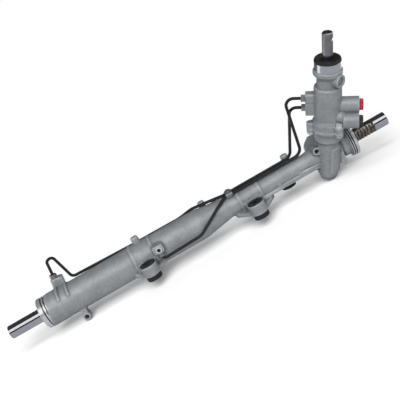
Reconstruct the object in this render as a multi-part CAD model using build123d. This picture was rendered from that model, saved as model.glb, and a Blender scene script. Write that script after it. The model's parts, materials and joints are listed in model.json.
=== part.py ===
from build123d import *
import math
import os

# Hydraulic power steering rack, all lengths in millimetres.
# X runs along the rack bar towards the pinion end, Z along the mounting bushes, Y towards the rear.
# The origin is the middle of the left boot seat, on the axis of the rack bar.

# Rack bar
BAR_D = 26.0
BAR_LEFT = -78.0
BAR_RIGHT = 729.0
BAR_CHAMFER = 1.2
TIE_THREAD_R = 7.2
LEFT_THREAD_DEPTH = 24.0
RIGHT_THREAD_DEPTH = 22.0

# Rack and pinion teeth
MODULE = 2.0
PINION_TEETH = 8
PRESSURE_ANGLE = 20.0
PROFILE_SHIFT = 0.6
TIP_CUT = 0.59
BACKLASH = 0.16
FLAT_HEIGHT = 9.2
TEETH_LEFT = 522.0
TEETH_RIGHT = 699.0
PINION_FACE = 32.0

# Pinion tower: where its axis passes the rack, and how it leans
TOWER_X = 598.0
TOWER_SKEW = 17.5
TOWER_LEAN = 24.1

# Cast housing along the rack
END_LEFT = -7.0
SEAT_R = 30.0
RIGHT_SEAT_R = 32.2
SEAT_GROOVE = 1.4
SEAT_GROOVE_W = 2.6
CAST_START_TOP = 14.0
CAST_START_BOTTOM = 2.0
CYLINDER_R = 29.5
CYLINDER_END = 330.0
TUBE_START = 392.0
TUBE_R = 18.5
TUBE_END = 560.0
BOX_R = 23.0
NECK_START = 616.0
NECK_R = 21.5
COLLAR_START = 629.0
COLLAR_R = 26.0
SEAT_START = 643.0
END_RIGHT = 656.0
LEFT_GROOVES = (2.8, 8.5)
RIGHT_GROOVES = (645.4, 649.4)
BORE_R = 21.5
BORE_START = 12.0
BORE_END = 267.0
BAR_CLEARANCE = 1.5
RUNNING_FIT = 0.04

# Piston and seals of the power cylinder
PISTON_X = 139.5
PISTON_W = 14.0
PISTON_RING_W = 4.0
PISTON_RING_DEPTH = 3.0
CIRCLIP_W = 1.6
CIRCLIP_DEPTH = 1.2
CIRCLIP_H = 2.6
SEAL_W = 8.0
SEAL_LIP = 2.0
SPACER_W = 6.0

# Left end cap and right bush
CAP_R = 24.5
CAP_LENGTH = 17.0
CAP_WIRE_R = 0.6
CAP_RING_R = 1.3
BUSH_R = 17.0
BUSH_W = 16.0
BUSH_RETAINER_R = 22.0
BUSH_RETAINER_W = 9.0

# Mounting bushes
MOUNT_X = (212.0, 436.5, 515.0)
MOUNT_Y = (-45.0, -45.0, 36.0)
MOUNT_NAME = ("left", "middle", "rear")
EYE_R = 16.4
EYE_TOP = -4.0
EYE_BOTTOM = -25.5
EYE_BORE_R = 12.6
RUBBER_FLANGE_R = 15.0
RUBBER_FLANGE_H = 2.4
RUBBER_FOOT_R = 14.8
RUBBER_FOOT_H = 8.5
SLEEVE_R = 9.0
SLEEVE_BORE_R = 6.2
SLEEVE_RECESS = 2.0
WEB_REACH = 40.0
WEB_BOTTOM = (-24.0, -24.0, -17.5)
WEB_THICKNESS = 7.0
RIDGE_OFFSET = 20.5
RIDGE_W = 3.4
RIDGE_H = 2.0

# Casting stubs, each as station, place behind the axis, top, and radius
STUBS = (
    (210.5, 2.0, 42.5, 7.6),
    (350.5, 19.0, 33.3, 7.2),
    (373.5, 13.0, 23.4, 5.0),
    (529.5, 15.0, 33.3, 7.6),
)
LOWER_EYE = (63.0, -9.0, -41.5)
LOWER_EYE_R = 7.6
LOWER_EYE_BORE_R = 4.4
LOWER_EYE_LENGTH = 24.0
FRONT_KNOB = (621.0, -12.0, -27.0)
FRONT_KNOB_R = 6.2
STAY_X = 581.0
STAY_Z = 17.0
STAY_R = 7.2
STAY_FACE = -30.0
STAY_THREAD_R = 4.25
STAY_DEPTH = 17.0

# Ports and pipes
PIPE_R = 2.9
NUT_FLATS = 12.6
NUT_LENGTH = 7.2
LEFT_PORT_X = 43.0
LEFT_PORT_Y = 12.0
LEFT_PORT_TOP = 47.0
LEFT_PORT_LEAN = 7.0
LEFT_PORT_W = 24.0
LEFT_PORT_D = 20.0
LEFT_PORT_H = 15.0
LEFT_PORT_SHIFT = 4.0
MIDDLE_PORT_X = 242.0
MIDDLE_PORT_Y = -37.0
MIDDLE_PORT_TOP = 17.0
MIDDLE_PORT_FACE = 1.0
MIDDLE_PORT_W = 21.0
MIDDLE_PORT_D = 16.0
MIDDLE_PORT_DEPTH = 9.0
PASSAGE_R = 2.8
CLAMP_X = 404.0
CLAMP_W = 13.0
CLAMP_WALL = 2.3
CLAMP_BOSS_R = 6.0
CLAMP_SCREW_R = 2.0

# Tower stations along its own axis, measured from the rack
TOWER_BOTTOM = -36.0
TOWER_R = 19.5
PAD_LOW = -26.0
PAD_HIGH = 28.0
PAD_PROUD = 2.0
SHOULDER = 44.0
TOWER_TOP_R = 25.5
EAR_LOW = 58.0
JOINT = 68.0
EAR_TOP = 79.0
FLANGE_TOP = 80.0
FLANGE_R = 28.3
BODY_LOW = 87.0
BODY_R = 24.6
BODY_TOP = 147.0
VALVE_NECK_LOW = 150.0
VALVE_NECK_HIGH = 166.0
VALVE_NECK_R = 19.6
COLLAR_LOW = 173.0
COLLAR_TOP = 180.0
COLLAR_LAND_R = 25.8
RETAINER_TOP = 196.0
RETAINER_R = 23.2
DUST_TOP = 201.0
DUST_R = 23.5
SHAFT_TOP = 247.0

# Bolts that join the two castings
BOLT_CIRCLE_R = 31.5
BOLT_ANGLES = (-78.6, 41.4)
LOW_BOLT_ANGLE = 161.4
BOLT_R = 4.0
BOLT_HEAD_R = 6.0
BOLT_HEAD_H = 5.0
BOLT_REACH = 8.5
EAR_R = 7.4

# Bores and rotating parts of the tower
TOOTH_BORE_R = 12.2
LOWER_BEARING_R = 14.0
LOWER_BEARING_LOW = -31.0
LOWER_BEARING_HIGH = -22.0
RACE_WALL = 2.2
BALL_R = 1.9
BALL_COUNT = 10
BALL_CIRCLE_R = 10.75
PINION_NUT_R = 9.0
PINION_NUT_H = 3.0
LOWER_JOURNAL_R = 7.5
BOTTOM_CAP_R = 14.6
BOTTOM_CAP_LOW = -44.0
BOTTOM_CAP_WALL = 2.5
UPPER_BEARING_R = 17.0
UPPER_BEARING_LOW = 26.0
UPPER_BEARING_HIGH = 38.0
UPPER_JOURNAL_R = 10.0
VALVE_BORE_R = 18.0
SLEEVE_OUT_R = 16.9
SLEEVE_IN_R = 10.6
SLEEVE_LOW = 65.5
SLEEVE_HIGH = 146.0
HEAD_R = 13.5
HEAD_LOW = 40.0
VALVE_RING_W = 3.0
VALVE_RING_DEPTH = 1.8
INPUT_R = 10.55
INPUT_LOW = 66.5
JOURNAL_R = 9.8
SPLINE_R = 9.4
SPLINE_ROOT_R = 8.8
SPLINE_COUNT = 36
SPLINE_LOW = 198.5
NOTCH_H = 233.5
NOTCH_R = 4.2
NOTCH_DEPTH = 3.0
TORSION_R = 3.4
TORSION_HEAD_R = 4.4
TORSION_BORE_R = 4.9
TORSION_LOW = 22.0
TORSION_HIGH = 240.0
TORSION_HEAD_H = 14.0
NEEDLE_R = 14.0
NEEDLE_GAP = 8.0
NEEDLE_W = 14.0
INPUT_SEAL_R = 15.5
INPUT_SEAL_LOW = 182.0
INPUT_SEAL_HIGH = 190.0
SNAP_RING_H = 1.5

# Fluid ports on the valve housing, turned about the tower axis
PIPE_SIDE = 153.3
HOSE_SIDE = PIPE_SIDE - 180
PIPE_PORT_HIGH = 126.5
PIPE_PORT_LOW = 104.0
PIPE_PORT_SPREAD = 3.7
BLOCK_REACH = 39.5
BLOCK_DEPTH = 15.0
BLOCK_LOW = 92.7
BLOCK_HIGH = 135.0
SUPPLY_H = 110.0
SUPPLY_R = 14.6
SUPPLY_REACH = 54.0
RETURN_DROP = 22.0
RETURN_R = 13.4
RETURN_OFFSET = 19.0
RETURN_START = 26.2
RETURN_REACH = 53.5
RETURN_NECK_R = 9.0
OIL_WAY_R = 3.5
LUG_ANGLE = -62.0
LUG_DROP = 10.0
LUG_R = 12.0
LUG_REACH = 28.0
LUG_POCKET_R = 7.5
LUG_POCKET = 4.0
PLUG_R = 10.4
PLUG_PROUD = 7.0
PLUG_SPIGOT_R = 8.0
PLUG_DEPTH = 10.0

# Yoke that presses the rack against the pinion
YOKE_BOSS_R = 26.0
YOKE_BOSS_END = 38.0
YOKE_BORE_R = 16.0
YOKE_R = 15.9
YOKE_END = 24.0
YOKE_LINER = 0.8
YOKE_PLUG_R = 17.2
YOKE_PLUG_START = 28.0
YOKE_PLUG_END = 46.0
YOKE_NUT_R = 22.0
YOKE_NUT_H = 5.0
SPRING_R = 8.0
SPRING_WIRE_R = 1.5
SPRING_TURNS = 3

# Worked out from the sizes above
BAR_R = BAR_D / 2
SKEW = math.radians(TOWER_SKEW)
LEAN = math.radians(TOWER_LEAN)
SIDE_MODULE = MODULE / math.cos(SKEW)
SIDE_PRESSURE = math.atan(math.tan(math.radians(PRESSURE_ANGLE)) / math.cos(SKEW))
PITCH_R = PINION_TEETH * SIDE_MODULE / 2
BASE_R = PITCH_R * math.cos(SIDE_PRESSURE)
TIP_R = PITCH_R + (1 + PROFILE_SHIFT) * MODULE - TIP_CUT
ROOT_R = PITCH_R + (PROFILE_SHIFT - 1.25) * MODULE
TOOTH_DEPTH = 2.25 * MODULE
TOOTH_PITCH = math.pi * MODULE
PINION_OFFSET = FLAT_HEIGHT + PITCH_R + (PROFILE_SHIFT - 1) * MODULE
AWAY = Vector(0, math.cos(LEAN), math.sin(LEAN))
UP = Vector(0, -math.sin(LEAN), math.cos(LEAN))
TOWER_AXIS = Vector(math.sin(SKEW), 0, 0) + UP * math.cos(SKEW)
TOWER_SIDE = Vector(math.cos(SKEW), 0, 0) - UP * math.sin(SKEW)
MESH_POINT = Vector(TOWER_X, 0, 0)
NEEDLE_LOW = SLEEVE_HIGH + NEEDLE_GAP
NEEDLE_HIGH = NEEDLE_LOW + NEEDLE_W
RETURN_H = SUPPLY_H - RETURN_DROP
LUG_H = COLLAR_LOW - LUG_DROP
HIGH_PORT = (PIPE_PORT_HIGH, PIPE_PORT_SPREAD)
LOW_PORT = (PIPE_PORT_LOW, -PIPE_PORT_SPREAD)
TOWER = Plane(origin=MESH_POINT - AWAY * PINION_OFFSET, x_dir=TOWER_SIDE, z_dir=TOWER_AXIS)
YOKE = Plane(origin=MESH_POINT, x_dir=(1, 0, 0), z_dir=AWAY)


def rod_x(radius, start, end, y=0.0, z=0.0):
    """A round bar along X between two stations."""
    return Pos(start, y, z) * Rot(0, 90, 0) * rod(radius, 0, end - start)


def rod(radius, low, high):
    """A round bar along local Z between two heights."""
    return Pos(0, 0, low) * Cylinder(radius, high - low, align=(Align.CENTER, Align.CENTER, Align.MIN))


def ring_x(outer, inner, start, end):
    return rod_x(outer, start, end) - rod_x(inner, start - 1, end + 1)


def ring(outer, inner, low, high):
    return rod(outer, low, high) - rod(inner, low - 1, high + 1)


def turned(*points):
    """A solid turned about local Z from (radius, height) corners."""
    return revolve(make_face(Plane.XZ * Polyline(*points, close=True)), Axis.Z)


def turned_x(*points):
    """A solid turned about X from (station, radius) corners."""
    return revolve(make_face(Polyline(*points, close=True)), Axis.X)


def side_rod(radius, start, end, height, angle, offset=0.0):
    """A round bar that leaves the tower sideways, at an angle about its axis."""
    return Rot(0, 0, angle) * Pos(start, offset, height) * Rot(0, 90, 0) * rod(radius, 0, end - start)


def drilled(radius, depth):
    """A blind hole's tool along local Z, mouth at zero, with the cone that a drill leaves."""
    return turned((0, -depth - 0.6 * radius), (radius, -depth), (radius, 1), (0, 1))


def bolt_place(angle):
    return Rot(0, 0, angle) * Pos(BOLT_CIRCLE_R, 0, 0)


def bolt_places():
    return [bolt_place(a) for a in BOLT_ANGLES]


def bolt_ears(low, high):
    """The three ears for the bolts, each tied to the round of the tower."""
    ears = []
    for angle in BOLT_ANGLES + (LOW_BOLT_ANGLE,):
        ears.append(bolt_place(angle) * rod(EAR_R, low, high))
        tie = Pos(BOLT_CIRCLE_R / 2, 0, (low + high) / 2) * Box(BOLT_CIRCLE_R, 2 * EAR_R, high - low)
        ears.append(Rot(0, 0, angle) * tie)
    return ears


def port_point(height, spread, along):
    """A point on a pipe port's axis, in the part's frame."""
    local = Vector(along, spread, height).rotate(Axis.Z, PIPE_SIDE)
    return TOWER.from_local_coords(local)


# Rack bar

def gap_profile():
    """One gap between rack teeth, drawn with Y pointing away from the pinion."""
    slope = math.tan(math.radians(PRESSURE_ANGLE))
    at_datum = TOOTH_PITCH / 4
    tip = at_datum + (MODULE + 1) * slope
    root = at_datum - (TOOTH_DEPTH - MODULE) * slope
    outside = -FLAT_HEIGHT - 1
    inside = -FLAT_HEIGHT + TOOTH_DEPTH
    return make_face(Polyline((-tip, outside), (tip, outside), (root, inside), (-root, inside), close=True))


def rack_bar():
    bar = rod_x(BAR_R, BAR_LEFT, BAR_RIGHT)
    bar = chamfer(bar.edges().filter_by(GeomType.CIRCLE), BAR_CHAMFER)
    threads = [Pos(BAR_LEFT, 0, 0) * Rot(0, -90, 0) * drilled(TIE_THREAD_R, LEFT_THREAD_DEPTH),
               Pos(BAR_RIGHT, 0, 0) * Rot(0, 90, 0) * drilled(TIE_THREAD_R, RIGHT_THREAD_DEPTH)]
    across = Plane(origin=MESH_POINT, x_dir=(1, 0, 0), z_dir=UP)
    first = math.ceil((TEETH_LEFT - TOWER_X) / TOOTH_PITCH)
    last = math.floor((TEETH_RIGHT - TOWER_X) / TOOTH_PITCH)
    start = (first - 0.5) * TOOTH_PITCH
    length = (last - first + 1) * TOOTH_PITCH
    flat = Pos(start + length / 2, -FLAT_HEIGHT - BAR_R / 2, 0) * Box(length, BAR_R, 2 * BAR_D)
    cut = extrude(gap_profile(), amount=BAR_D, both=True)
    tools = [across * flat] + [across * Pos(i * TOOTH_PITCH, 0, 0) * cut for i in range(first, last + 1)]
    for side in (-1, 1):
        edge = PISTON_X + side * (PISTON_W / 2 + CIRCLIP_W / 2)
        tools.append(ring_x(BAR_R + 1, BAR_R - CIRCLIP_DEPTH, edge - CIRCLIP_W / 2, edge + CIRCLIP_W / 2))
    return bar - tools - threads


def piston():
    left = PISTON_X - PISTON_W / 2
    body = ring_x(BORE_R - 0.25, BAR_R, left, left + PISTON_W)
    start = PISTON_X - PISTON_RING_W / 2
    return body - ring_x(BORE_R + 1, BORE_R - PISTON_RING_DEPTH, start, start + PISTON_RING_W)


def piston_ring():
    return ring_x(BORE_R - RUNNING_FIT, BORE_R - PISTON_RING_DEPTH,
                  PISTON_X - PISTON_RING_W / 2, PISTON_X + PISTON_RING_W / 2)


def piston_circlips():
    clips = []
    for side in (-1, 1):
        middle = PISTON_X + side * (PISTON_W / 2 + CIRCLIP_W / 2)
        inner = BAR_R - CIRCLIP_DEPTH
        clip = ring_x(inner + CIRCLIP_H, inner, middle - CIRCLIP_W / 2, middle + CIRCLIP_W / 2)
        clips.append(clip - Pos(middle, 0, -BAR_R) * Box(CIRCLIP_W + 1, 4, BAR_R))
    return Compound(clips)


# Cast rack housing

def seat_profile(radius, start, end, grooves):
    """The machined land that a rubber boot grips, with its clip grooves."""
    seat = rod_x(radius, start, end)
    seat = chamfer(seat.edges().filter_by(GeomType.CIRCLE), 0.8)
    for x in grooves:
        seat -= ring_x(radius + 1, radius - SEAT_GROOVE, x - SEAT_GROOVE_W / 2, x + SEAT_GROOVE_W / 2)
    return seat


def main_casting():
    """Power cylinder, cone and slim tube as one turned form with a slanted left end."""
    left = CAST_START_BOTTOM - 8
    body = turned_x((left, 0), (left, CYLINDER_R + 1.2), (34, CYLINDER_R + 1.2), (40, CYLINDER_R),
                    (CYLINDER_END, CYLINDER_R), (TUBE_START, TUBE_R + 0.4), (TUBE_END, TUBE_R),
                    (TUBE_END + 20, BOX_R), (NECK_START, BOX_R), (NECK_START + 4, NECK_R),
                    (COLLAR_START, NECK_R), (COLLAR_START + 2, COLLAR_R),
                    (SEAT_START + 2, COLLAR_R), (SEAT_START + 2, 0))
    slant = math.degrees(math.atan2(CAST_START_TOP - CAST_START_BOTTOM, 2 * CYLINDER_R))
    middle = (CAST_START_TOP + CAST_START_BOTTOM) / 2
    side = 4 * CYLINDER_R
    knife = Pos(middle, 0, 0) * Rot(0, slant, 0) * Pos(-side / 2, 0, 0) * Box(side, side, side)
    return body - knife


def mount_eye(x, y, low):
    """A bush eye with its webs and the two ridges that tie it to the tube."""
    side = -1 if y < 0 else 1
    tube_r = CYLINDER_R if x < CYLINDER_END else TUBE_R
    eye = Pos(x, y, 0) * rod(EYE_R, EYE_BOTTOM, EYE_TOP)
    foot = side * tube_r * 0.55
    neck = Pos(x, (y + foot) / 2, (EYE_TOP + low) / 2) * Box(2 * EYE_R, abs(y - foot), EYE_TOP - low)
    near = side * tube_r * 0.5
    far = y + side * EYE_R * 0.55
    plan = make_face(Polyline((x - WEB_REACH, near), (x - EYE_R * 0.8, far), (x + EYE_R * 0.8, far),
                              (x + WEB_REACH, near), (x + WEB_REACH, 0), (x - WEB_REACH, 0), close=True))
    web = Pos(0, 0, low) * extrude(plan, amount=WEB_THICKNESS)
    web &= rod_x(tube_r * 2.4, x - WEB_REACH, x + WEB_REACH, side * tube_r * 1.2, tube_r * 0.2)
    centres = (x - RIDGE_OFFSET, x + RIDGE_OFFSET)
    ridges = [ring_x(tube_r + RIDGE_H, tube_r - 3, c - RIDGE_W / 2, c + RIDGE_W / 2) for c in centres]
    saddle = ring_x(tube_r + 0.8, tube_r - 3, x - RIDGE_OFFSET, x + RIDGE_OFFSET)
    return [eye, neck, web, saddle] + ridges


def casting_stubs():
    """Plain stubs left by the casting, and the two drilled bosses."""
    stubs = []
    for x, y, top, radius in STUBS:
        stub = Pos(x, y, 0) * rod(radius, 0, top)
        stubs.append(fillet(stub.edges().sort_by(Axis.Z)[-1], radius / 3))
    x, y, z = LOWER_EYE
    stubs.append(Pos(x, y, z) * Rot(90, 0, 0) * Cylinder(LOWER_EYE_R, LOWER_EYE_LENGTH))
    stubs.append(Pos(x, y, z + LOWER_EYE_R) * Box(1.5 * LOWER_EYE_R, LOWER_EYE_LENGTH - 4, 2 * LOWER_EYE_R))
    stubs.append(clamp_place() * rod(CLAMP_BOSS_R, -PIPE_R - CLAMP_WALL - 10, -PIPE_R - CLAMP_WALL))
    x, y, z = FRONT_KNOB
    stubs.append(Pos(x, y, z) * Rot(90, 0, 0) * Cylinder(FRONT_KNOB_R, 22))
    stubs.append(Pos(x, y, z + 9) * Box(1.6 * FRONT_KNOB_R, 20, 16))
    return stubs


def stay_boss():
    """The threaded boss on the front of the pinion casting and its rib."""
    boss = Pos(STAY_X, STAY_FACE, STAY_Z) * Rot(90, 0, 0) * rod(STAY_R, STAY_FACE, 0)
    rib = Pos(STAY_X + 4, STAY_FACE + 14, STAY_Z - 9) * Box(5, 16, 20)
    return [boss, rib]


def left_port_boss():
    upright = Pos(LEFT_PORT_X, LEFT_PORT_Y, 0) * Pos(0, 0, LEFT_PORT_TOP) * Rot(0, LEFT_PORT_LEAN, 0)
    block = upright * Pos(LEFT_PORT_SHIFT, 0, -LEFT_PORT_H / 2) * Box(LEFT_PORT_W, LEFT_PORT_D, LEFT_PORT_H)
    block = fillet(block.edges().group_by(SortBy.LENGTH)[0], 4)
    stem = upright * Pos(0, LEFT_PORT_D / 8, -LEFT_PORT_TOP / 2) * Box(
        LEFT_PORT_W - 8, LEFT_PORT_D * 0.7, LEFT_PORT_TOP)
    ribs = []
    for side in (-1, 1):
        middle = LEFT_PORT_X + LEFT_PORT_SHIFT + side * (LEFT_PORT_W / 2 - 2)
        rib = ring_x(CYLINDER_R + 4, CYLINDER_R - 3, middle - 1.8, middle + 1.8)
        ribs.append(rib & Pos(middle, -CYLINDER_R / 3, CYLINDER_R) * Box(8, 1.3 * CYLINDER_R, CYLINDER_R))
    return [block, stem] + ribs


def middle_port_boss():
    height = MIDDLE_PORT_TOP - MIDDLE_PORT_FACE
    block = Pos(MIDDLE_PORT_X, MIDDLE_PORT_Y + 2, MIDDLE_PORT_FACE + height / 2) * Box(
        MIDDLE_PORT_W, MIDDLE_PORT_D + 4, height)
    return fillet(block.edges().filter_by(Axis.Y), 4)


def tower_casting():
    """Lower half of the tower, in its own frame, up to the joint face."""
    post = turned((0, TOWER_BOTTOM), (TOWER_R - 3, TOWER_BOTTOM), (TOWER_R - 1, TOWER_BOTTOM + 4),
                  (TOWER_R, TOWER_BOTTOM + 10), (TOWER_R, SHOULDER - 6),
                  (TOWER_TOP_R, SHOULDER), (TOWER_TOP_R, EAR_LOW), (FLANGE_R, EAR_LOW + 4),
                  (FLANGE_R, JOINT), (0, JOINT))
    pad = ring(TOWER_R + PAD_PROUD, TOWER_R - 2, PAD_LOW, PAD_HIGH)
    pad &= Rot(0, 0, -63) * Pos(TOWER_R, 0, 0) * Box(1.5 * TOWER_R, 1.3 * TOWER_R, 4 * PAD_HIGH)
    return [TOWER * shape for shape in [post, pad] + bolt_ears(EAR_LOW, JOINT)]


def yoke_boss():
    boss = rod(YOKE_BOSS_R, 0, YOKE_BOSS_END)
    return YOKE * chamfer(boss.edges().sort_by(Axis.Z)[-1], 1.5)


def housing_bores():
    """Everything machined out of the rack housing."""
    bores = [rod_x(CAP_R, END_LEFT - 1, BORE_START), rod_x(BORE_R, BORE_START - 1, BORE_END),
             rod_x(BAR_R + BAR_CLEARANCE, BORE_END - 1, END_RIGHT + 1),
             rod_x(BUSH_R, END_RIGHT - BUSH_RETAINER_W - BUSH_W, END_RIGHT + 1),
             rod_x(BUSH_RETAINER_R, END_RIGHT - BUSH_RETAINER_W, END_RIGHT + 1)]
    for x, y in zip(MOUNT_X, MOUNT_Y):
        bores.append(Pos(x, y, 0) * rod(EYE_BORE_R, EYE_BOTTOM - 1, EYE_TOP + 1))
        bores.append(Pos(x, y, 0) * rod(RUBBER_FLANGE_R + 0.4, EYE_TOP, EYE_TOP + RUBBER_FLANGE_H + 1))
    tower = [rod(TOOTH_BORE_R, LOWER_BEARING_LOW, JOINT),
             rod(LOWER_BEARING_R, TOWER_BOTTOM - 1, LOWER_BEARING_HIGH),
             rod(UPPER_BEARING_R, UPPER_BEARING_LOW, JOINT + 1),
             rod(VALVE_BORE_R, UPPER_BEARING_HIGH, JOINT + 1)]
    tower += [p * rod(BOLT_R, JOINT - BOLT_REACH, JOINT + 1) for p in bolt_places()]
    tower += [bolt_place(LOW_BOLT_ANGLE) * rod(BOLT_R + 0.4, EAR_LOW - 1, JOINT + 1),
              bolt_place(LOW_BOLT_ANGLE) * rod(BOLT_HEAD_R + 0.8, SHOULDER - 8, EAR_LOW + 2)]
    bores += [TOWER * b for b in tower]
    bores.append(YOKE * rod(YOKE_BORE_R, 0, YOKE_BOSS_END + 1))
    bores.append(YOKE * rod(YOKE_PLUG_R, YOKE_PLUG_START, YOKE_BOSS_END + 1))
    bores.append(Pos(*LOWER_EYE) * Rot(90, 0, 0) * Cylinder(LOWER_EYE_BORE_R, LOWER_EYE_LENGTH + 6))
    bores.append(Pos(STAY_X, STAY_FACE, STAY_Z) * Rot(90, 0, 0) * drilled(STAY_THREAD_R, STAY_DEPTH))
    bores.append(left_port_place() * rod(PIPE_R + 1.2, -40, 1))
    bores.append(middle_port_place() * rod(PIPE_R + 1.2, -MIDDLE_PORT_DEPTH, 1))
    inward = Pos(MIDDLE_PORT_X, MIDDLE_PORT_Y, MIDDLE_PORT_FACE + MIDDLE_PORT_DEPTH / 2) * Rot(-90, 0, 0)
    bores.append(inward * rod(PASSAGE_R, 0, abs(MIDDLE_PORT_Y) - BAR_R - 3))
    bores.append(clamp_place() * rod(CLAMP_SCREW_R, -8.5, 2))
    return bores


def rack_housing():
    shapes = [main_casting(), seat_profile(SEAT_R, END_LEFT, CAST_START_TOP + 2, LEFT_GROOVES),
              seat_profile(RIGHT_SEAT_R, SEAT_START, END_RIGHT, RIGHT_GROOVES)]
    for x, y, low in zip(MOUNT_X, MOUNT_Y, WEB_BOTTOM):
        shapes += mount_eye(x, y, low)
    shapes += casting_stubs() + stay_boss() + left_port_boss()
    shapes += [middle_port_boss(), yoke_boss()] + tower_casting()
    body = shapes[0].fuse(*shapes[1:])
    return body.cut(*housing_bores())


# Ends of the rack housing

def left_end_cap():
    right = BORE_START
    left = right - CAP_LENGTH
    cap = ring_x(CAP_R - 0.02, BAR_R + RUNNING_FIT + 0.6, left, right)
    cap -= ring_x(CAP_R + 1, CAP_R - 2 * CAP_WIRE_R, left + 3, left + 3 + 2 * CAP_WIRE_R)
    cap -= ring_x(CAP_R + 1, CAP_R - 2 * CAP_RING_R, left + 9, left + 9 + 2.2 * CAP_RING_R)
    return cap - rod_x(BAR_R + 5, right - SEAL_W, right + 1)


def end_cap_wire():
    left = BORE_START - CAP_LENGTH
    return Pos(left + 3 + CAP_WIRE_R, 0, 0) * Rot(0, 90, 0) * Torus(CAP_R - CAP_WIRE_R, CAP_WIRE_R - 0.02)


def end_cap_o_ring():
    middle = BORE_START - CAP_LENGTH + 9 + 1.1 * CAP_RING_R
    return Pos(middle, 0, 0) * Rot(0, 90, 0) * Torus(CAP_R - CAP_RING_R, CAP_RING_R - 0.02)


def lip_seal(left, outer):
    """A rod seal with a sprung lip, its open side towards the pressure."""
    right = left + SEAL_W
    return turned_x((left, BAR_R + 1.2), (left, outer), (right, outer), (right, outer - SEAL_LIP),
                    (left + 3, outer - SEAL_LIP), (left + 3, BAR_R + 2.2), (right - 1, BAR_R + 1.2),
                    (right - 2, BAR_R + RUNNING_FIT), (left + 2, BAR_R + 1.2))


def left_rack_seal():
    return lip_seal(BORE_START - SEAL_W, BAR_R + 5)


def inner_rack_seal():
    seal = lip_seal(0, BORE_R)
    return Pos(BORE_END, 0, 0) * Rot(0, 0, 180) * seal


def seal_spacer():
    right = BORE_END - SEAL_W
    return ring_x(BORE_R, BAR_R + 1.0, right - SPACER_W, right)


def rack_bush():
    left = END_RIGHT - BUSH_RETAINER_W - BUSH_W
    return ring_x(BUSH_R, BAR_R + RUNNING_FIT, left, left + BUSH_W)


def bush_retainer():
    left = END_RIGHT - BUSH_RETAINER_W
    plain = ring_x(BUSH_RETAINER_R, BAR_R + 1.0, left, END_RIGHT - 1.0)
    slots = [Rot(a, 0, 0) * Pos(END_RIGHT - 2, 0, 18) * Box(4, 5, 5) for a in (0, 90, 180, 270)]
    return plain - slots


# Mounting bushes

def mount_rubber(x, y):
    foot = EYE_BOTTOM - RUBBER_FOOT_H
    body = turned((SLEEVE_R, foot), (RUBBER_FOOT_R - 1, foot), (RUBBER_FOOT_R, foot + 1),
                  (RUBBER_FOOT_R, EYE_BOTTOM), (EYE_BORE_R, EYE_BOTTOM), (EYE_BORE_R, EYE_TOP),
                  (RUBBER_FLANGE_R, EYE_TOP), (RUBBER_FLANGE_R, EYE_TOP + RUBBER_FLANGE_H),
                  (SLEEVE_R, EYE_TOP + RUBBER_FLANGE_H))
    return Pos(x, y, 0) * body


def mount_sleeve(x, y):
    low = EYE_BOTTOM - RUBBER_FOOT_H + SLEEVE_RECESS
    high = EYE_TOP + RUBBER_FLANGE_H - SLEEVE_RECESS
    return Pos(x, y, 0) * ring(SLEEVE_R, SLEEVE_BORE_R, low, high)


# Valve housing on top of the tower

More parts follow.
